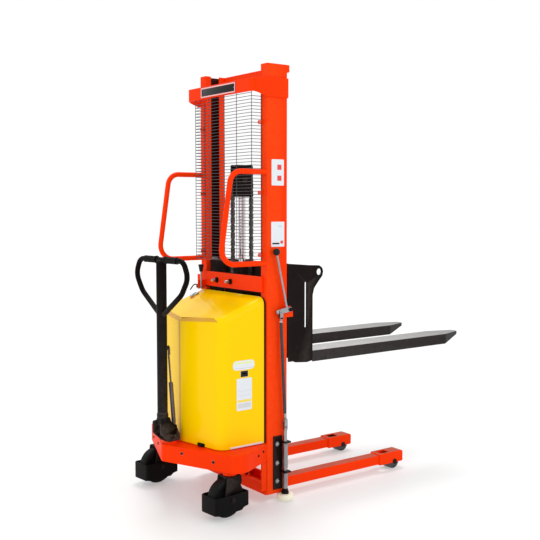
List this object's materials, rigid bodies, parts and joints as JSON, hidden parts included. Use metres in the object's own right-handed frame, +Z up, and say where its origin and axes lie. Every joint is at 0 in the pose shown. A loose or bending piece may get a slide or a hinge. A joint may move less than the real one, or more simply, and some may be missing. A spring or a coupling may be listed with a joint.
{
  "type": "walkie stacker",
  "caption": "Pedestrian pallet stacker with a fixed mast, sliding fork carriage, straddled support legs, steered casters and a tilting tiller.",
  "frame": {"origin": "on the floor under the centre of the whole truck's box, forks at the height shown at rest", "axes": "+X towards the fork tips, +Y to the operator's left when facing the forks, +Z up"},
  "size_m": [1.8207, 0.7796, 2.078],
  "materials": {
    "orange_paint": "gloss powder coat",
    "black_paint": "satin black powder coat",
    "tiller_black": "satin black paint",
    "cover_yellow": "high gloss moulded shell",
    "trim_black": "matte",
    "label_white": "printed film, blank",
    "guard_wire": "black coated wire",
    "bright_steel": "zinc plated",
    "chrome_rod": "polished",
    "chain_steel": "oiled",
    "fork_steel": "black, top worn bright",
    "guard_black": "moulded, fine grain",
    "wheel_black": "matte",
    "roller_nylon": "satin",
    "grip_rubber": "ribbed",
    "pad_cream": "satin",
    "hose_rubber": "matte",
    "battery_case": "satin",
    "tank_grey": "satin"
  },
  "bodies": {
    "chassis": {"mast_post_left": "orange_paint", "mast_post_right": "orange_paint", "mast_front_bar": "orange_paint", "mast_rear_beam": "orange_paint", "blank_plates": "label_white", "guard_mesh": "guard_wire", "guard_clips": "orange_paint", "grab_handle_left": "orange_paint", "grab_handle_right": "orange_paint", "control_panel": "orange_paint", "battery_cover": "cover_yellow", "cover_trim": "trim_black", "battery_gauge": "label_white", "chassis_skirt": "orange_paint", "chassis_deck": "orange_paint", "fixing_screws": "bright_steel", "mast_base": "orange_paint", "leg_left": "orange_paint", "leg_right": "orange_paint", "load_roller_axles": "bright_steel", "cylinder_barrel": "black_paint", "cylinder_gland": "bright_steel", "battery": "battery_case", "pump_motor": "black_paint", "oil_tank": "tank_grey", "hydraulic_hose": "hose_rubber", "chain_rear": "chain_steel", "lock_bracket": "black_paint"},
    "crosshead": {"piston_rod": "chrome_rod", "crosshead_yoke": "black_paint", "sheave_pin": "bright_steel", "chain_wrap": "chain_steel"},
    "sheave": {"sheave": "chain_steel"},
    "carriage": {"carriage_frame": "black_paint", "fork_left": "fork_steel", "fork_right": "fork_steel", "roller_axles": "bright_steel", "chain_front": "chain_steel"},
    "mast_roller_lower_left": {"mast_roller_lower_left": "chain_steel"},
    "mast_roller_lower_right": {"mast_roller_lower_right": "chain_steel"},
    "mast_roller_upper_left": {"mast_roller_upper_left": "chain_steel"},
    "mast_roller_upper_right": {"mast_roller_upper_right": "chain_steel"},
    "load_roller_left": {"load_roller_left": "roller_nylon"},
    "load_roller_right": {"load_roller_right": "roller_nylon"},
    "caster_left": {"caster_yoke_left": "black_paint", "caster_guard_left": "guard_black"},
    "caster_right": {"caster_yoke_right": "black_paint", "caster_guard_right": "guard_black"},
    "caster_wheel_left": {"caster_wheel_left": "wheel_black"},
    "caster_wheel_right": {"caster_wheel_right": "wheel_black"},
    "tiller_base": {"tiller_base": "tiller_black"},
    "tiller": {"tiller_handle": "tiller_black", "tiller_grips": "grip_rubber"},
    "spring_case": {"spring_case": "tiller_black"},
    "spring_rod": {"spring_rod": "chrome_rod"},
    "steering_link": {"steering_link": "black_paint"},
    "lock_lever": {"lock_lever": "bright_steel"},
    "lock_pushrod": {"lock_pushrod": "black_paint"},
    "lock_plunger": {"lock_plunger": "bright_steel"},
    "valve_lever": {"valve_lever": "bright_steel"}
  },
  "joints": [
    {"name": "crosshead_lift", "type": "slide", "parent": "chassis", "child": "crosshead", "axis": [0, 0, 1], "range_m": [-0.304, 0.435], "deforming": ["chain_rear"]},
    {"name": "carriage_lift", "type": "slide", "parent": "crosshead", "child": "carriage", "axis": [0, 0, 1], "range_m": [-0.304, 0.435], "deforming": ["chain_front"]},
    {"name": "sheave_spin", "type": "hinge", "parent": "crosshead", "child": "sheave", "pos_m": [-0.406, 0, 1.545], "axis": [0, 1, 0], "range_deg": [-455, 320]},
    {"name": "mast_roller_lower_left_spin", "type": "hinge", "parent": "carriage", "child": "mast_roller_lower_left", "pos_m": [-0.405, 0.264, 0.78], "axis": [0, 1, 0], "range_deg": [-970, 680]},
    {"name": "mast_roller_lower_right_spin", "type": "hinge", "parent": "carriage", "child": "mast_roller_lower_right", "pos_m": [-0.405, -0.264, 0.78], "axis": [0, 1, 0], "range_deg": [-970, 680]},
    {"name": "mast_roller_upper_left_spin", "type": "hinge", "parent": "carriage", "child": "mast_roller_upper_left", "pos_m": [-0.405, 0.264, 1.1], "axis": [0, 1, 0], "range_deg": [-680, 970]},
    {"name": "mast_roller_upper_right_spin", "type": "hinge", "parent": "carriage", "child": "mast_roller_upper_right", "pos_m": [-0.405, -0.264, 1.1], "axis": [0, 1, 0], "range_deg": [-680, 970]},
    {"name": "load_roller_left_spin", "type": "hinge", "parent": "chassis", "child": "load_roller_left", "pos_m": [0.423, 0.211, 0.04], "axis": [0, 1, 0], "continuous": true},
    {"name": "load_roller_right_spin", "type": "hinge", "parent": "chassis", "child": "load_roller_right", "pos_m": [0.423, -0.211, 0.04], "axis": [0, 1, 0], "continuous": true},
    {"name": "tiller_yaw", "type": "hinge", "parent": "chassis", "child": "tiller_base", "pos_m": [-0.825, 0, 0.3], "axis": [0, 0, 1], "range_deg": [-65, 55]},
    {"name": "caster_left_swivel", "type": "hinge", "parent": "chassis", "child": "caster_left", "pos_m": [-0.698, 0.32, 0.205], "axis": [0, 0, 1], "range_deg": [-66, 56]},
    {"name": "caster_wheel_left_spin", "type": "hinge", "parent": "caster_left", "child": "caster_wheel_left", "pos_m": [-0.7249, 0.31765, 0.09], "axis": [-0.0872, 0.9962, 0], "continuous": true},
    {"name": "caster_right_swivel", "type": "hinge", "parent": "chassis", "child": "caster_right", "pos_m": [-0.698, -0.32, 0.205], "axis": [0, 0, 1], "range_deg": [-66, 56]},
    {"name": "caster_wheel_right_spin", "type": "hinge", "parent": "caster_right", "child": "caster_wheel_right", "pos_m": [-0.7249, -0.32235, 0.09], "axis": [-0.0872, 0.9962, 0], "continuous": true},
    {"name": "steering_link_pivot", "type": "hinge", "parent": "tiller_base", "child": "steering_link", "pos_m": [-0.77519, 0.00436, 0.24], "axis": [0, 0, 1], "range_deg": [-56, 66]},
    {"name": "tiller_tilt", "type": "hinge", "parent": "tiller_base", "child": "tiller", "pos_m": [-0.825, 0, 0.331], "axis": [0.0872, -0.9962, 0], "range_deg": [0, 70], "stiffness_Nm_per_rad": 55, "springref_deg": -20.05},
    {"name": "spring_swing", "type": "hinge", "parent": "tiller_base", "child": "spring_case", "pos_m": [-0.80308, 0.00192, 0.366], "axis": [0.0872, -0.9962, 0], "range_deg": [0, 72.4]},
    {"name": "spring_slide", "type": "slide", "parent": "spring_case", "child": "spring_rod", "axis": [-0.078, -0.0068, 0.9969], "range_m": [0, 0.04567]},
    {"name": "lock_lever_pivot", "type": "hinge", "parent": "chassis", "child": "lock_lever", "pos_m": [-0.344, -0.313, 0.926], "axis": [0, -1, 0], "range_deg": [0, 10.11]},
    {"name": "lock_pushrod_pivot", "type": "hinge", "parent": "lock_lever", "child": "lock_pushrod", "pos_m": [-0.401, -0.313, 0.919], "axis": [0, -1, 0], "range_deg": [-10.44, 0]},
    {"name": "lock_plunger_slide", "type": "slide", "parent": "chassis", "child": "lock_plunger", "axis": [0, 0, -1], "range_m": [0, 0.00995]},
    {"name": "valve_lever_pivot", "type": "hinge", "parent": "chassis", "child": "valve_lever", "pos_m": [-0.508, 0.222, 1.002], "axis": [0, 1, 0], "range_deg": [-10, 10], "stiffness_Nm_per_rad": 3}
  ],
  "couplings": [
    {"joint": "carriage_lift", "follows": "crosshead_lift", "ratio": 1},
    {"joint": "sheave_spin", "follows": "crosshead_lift", "rad_per_m": -18.018},
    {"joint": "mast_roller_lower_left_spin", "follows": "crosshead_lift", "rad_per_m": -38.685},
    {"joint": "mast_roller_lower_right_spin", "follows": "crosshead_lift", "rad_per_m": -38.685},
    {"joint": "mast_roller_upper_left_spin", "follows": "crosshead_lift", "rad_per_m": 38.685},
    {"joint": "mast_roller_upper_right_spin", "follows": "crosshead_lift", "rad_per_m": 38.685},
    {"joint": "caster_left_swivel", "follows": "tiller_yaw", "ratio": 1},
    {"joint": "caster_right_swivel", "follows": "tiller_yaw", "ratio": 1},
    {"joint": "steering_link_pivot", "follows": "tiller_yaw", "ratio": -1},
    {"joint": "spring_swing", "follows": "tiller_tilt", "ratio": 1.0285},
    {"joint": "spring_slide", "follows": "tiller_tilt", "m_per_rad": 0.037054},
    {"joint": "lock_pushrod_pivot", "follows": "lock_lever_pivot", "ratio": -1.0228},
    {"joint": "lock_plunger_slide", "follows": "lock_lever_pivot", "m_per_rad": 0.056089}
  ]
}
